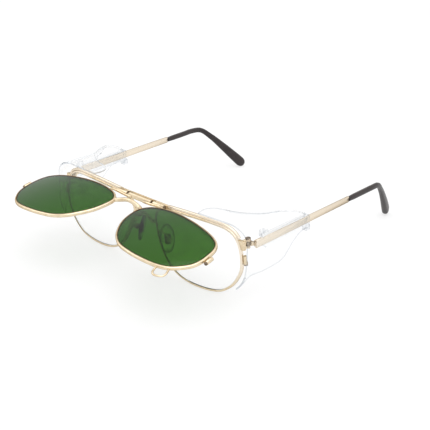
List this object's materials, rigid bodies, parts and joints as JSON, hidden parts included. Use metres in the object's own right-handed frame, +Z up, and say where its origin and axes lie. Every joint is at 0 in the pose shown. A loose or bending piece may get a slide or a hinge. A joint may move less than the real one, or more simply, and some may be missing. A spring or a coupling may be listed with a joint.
{
  "type": "tinted safety glasses",
  "caption": "Wire-framed safety glasses with clear lenses and side shields, folding temples, rocking nose pads and a green-tinted front that flips up on a hinge over the brow bar.",
  "frame": {"origin": "middle of the footprint, on the surface that the rims and ear tips rest on", "axes": "+Z up, the front of the glasses towards -Y, the wearer's left towards +X"},
  "size_m": [0.1368, 0.185, 0.0406],
  "materials": {
    "gold_wire": "polished gold plating",
    "screw_steel": "plain",
    "clear_lens": "clear, polished",
    "green_lens": "green tint, polished",
    "clear_shield": "clear moulded",
    "tip_plastic": "dark brown, satin",
    "pad_plastic": "milky, soft"
  },
  "bodies": {
    "front": {"brow_bar": "gold_wire", "nose_bridge": "gold_wire", "flip_hinge_plate": "gold_wire", "flip_hinge_pin": "screw_steel", "rim_left": "gold_wire", "clear_lens_left": "clear_lens", "end_piece_left": "gold_wire", "hinge_screw_left": "screw_steel", "rim_lock_left": "gold_wire", "rim_lock_screw_left": "screw_steel", "pad_arm_left": "gold_wire", "rim_right": "gold_wire", "clear_lens_right": "clear_lens", "end_piece_right": "gold_wire", "hinge_screw_right": "screw_steel", "rim_lock_right": "gold_wire", "rim_lock_screw_right": "screw_steel", "pad_arm_right": "gold_wire"},
    "flip_front": {"flip_hinge_barrel": "gold_wire", "flip_bridge": "gold_wire", "flip_lift_loop": "gold_wire", "flip_rim_left": "gold_wire", "green_lens_left": "green_lens", "flip_rim_lock_left": "gold_wire", "flip_lock_screw_left": "screw_steel", "flip_washer_left": "screw_steel", "flip_rim_right": "gold_wire", "green_lens_right": "green_lens", "flip_rim_lock_right": "gold_wire", "flip_lock_screw_right": "screw_steel", "flip_washer_right": "screw_steel"},
    "temple_left": {"temple_left": "gold_wire", "temple_hinge_leaf_left": "gold_wire", "temple_tip_left": "tip_plastic"},
    "shield_left": {"side_shield_left": "clear_shield"},
    "pad_left": {"nose_pad_left": "pad_plastic", "nose_pad_mount_left": "screw_steel", "nose_pad_pin_left": "screw_steel"},
    "temple_right": {"temple_right": "gold_wire", "temple_hinge_leaf_right": "gold_wire", "temple_tip_right": "tip_plastic"},
    "shield_right": {"side_shield_right": "clear_shield"},
    "pad_right": {"nose_pad_right": "pad_plastic", "nose_pad_mount_right": "screw_steel", "nose_pad_pin_right": "screw_steel"}
  },
  "joints": [
    {"name": "flip_lift", "type": "hinge", "parent": "front", "child": "flip_front", "pos_m": [0, -0.04918, 0.03756], "axis": [1, 0, 0], "range_deg": [0, 79.5]},
    {"name": "temple_fold_left", "type": "hinge", "parent": "front", "child": "temple_left", "pos_m": [0.06283, -0.04006, 0.03011], "axis": [0, 0.0872, 0.9962], "range_deg": [0, 75]},
    {"name": "shield_slide_left", "type": "slide", "parent": "temple_left", "child": "shield_left", "axis": [0, 1, -0.0052], "range_m": [0, 0.005]},
    {"name": "nose_pad_rock_left", "type": "hinge", "parent": "front", "child": "pad_left", "pos_m": [0.0115, -0.04095, 0.01563], "axis": [0.5, 0.866, 0], "range_deg": [-8, 8]},
    {"name": "temple_fold_right", "type": "hinge", "parent": "front", "child": "temple_right", "pos_m": [-0.06283, -0.04006, 0.03011], "axis": [0, 0, -1], "range_deg": [0, 75]},
    {"name": "shield_slide_right", "type": "slide", "parent": "temple_right", "child": "shield_right", "axis": [0, 1, -0.0052], "range_m": [0, 0.005]},
    {"name": "nose_pad_rock_right", "type": "hinge", "parent": "front", "child": "pad_right", "pos_m": [-0.0115, -0.04095, 0.01563], "axis": [-0.5, 0.866, 0], "range_deg": [-8, 8]}
  ]
}
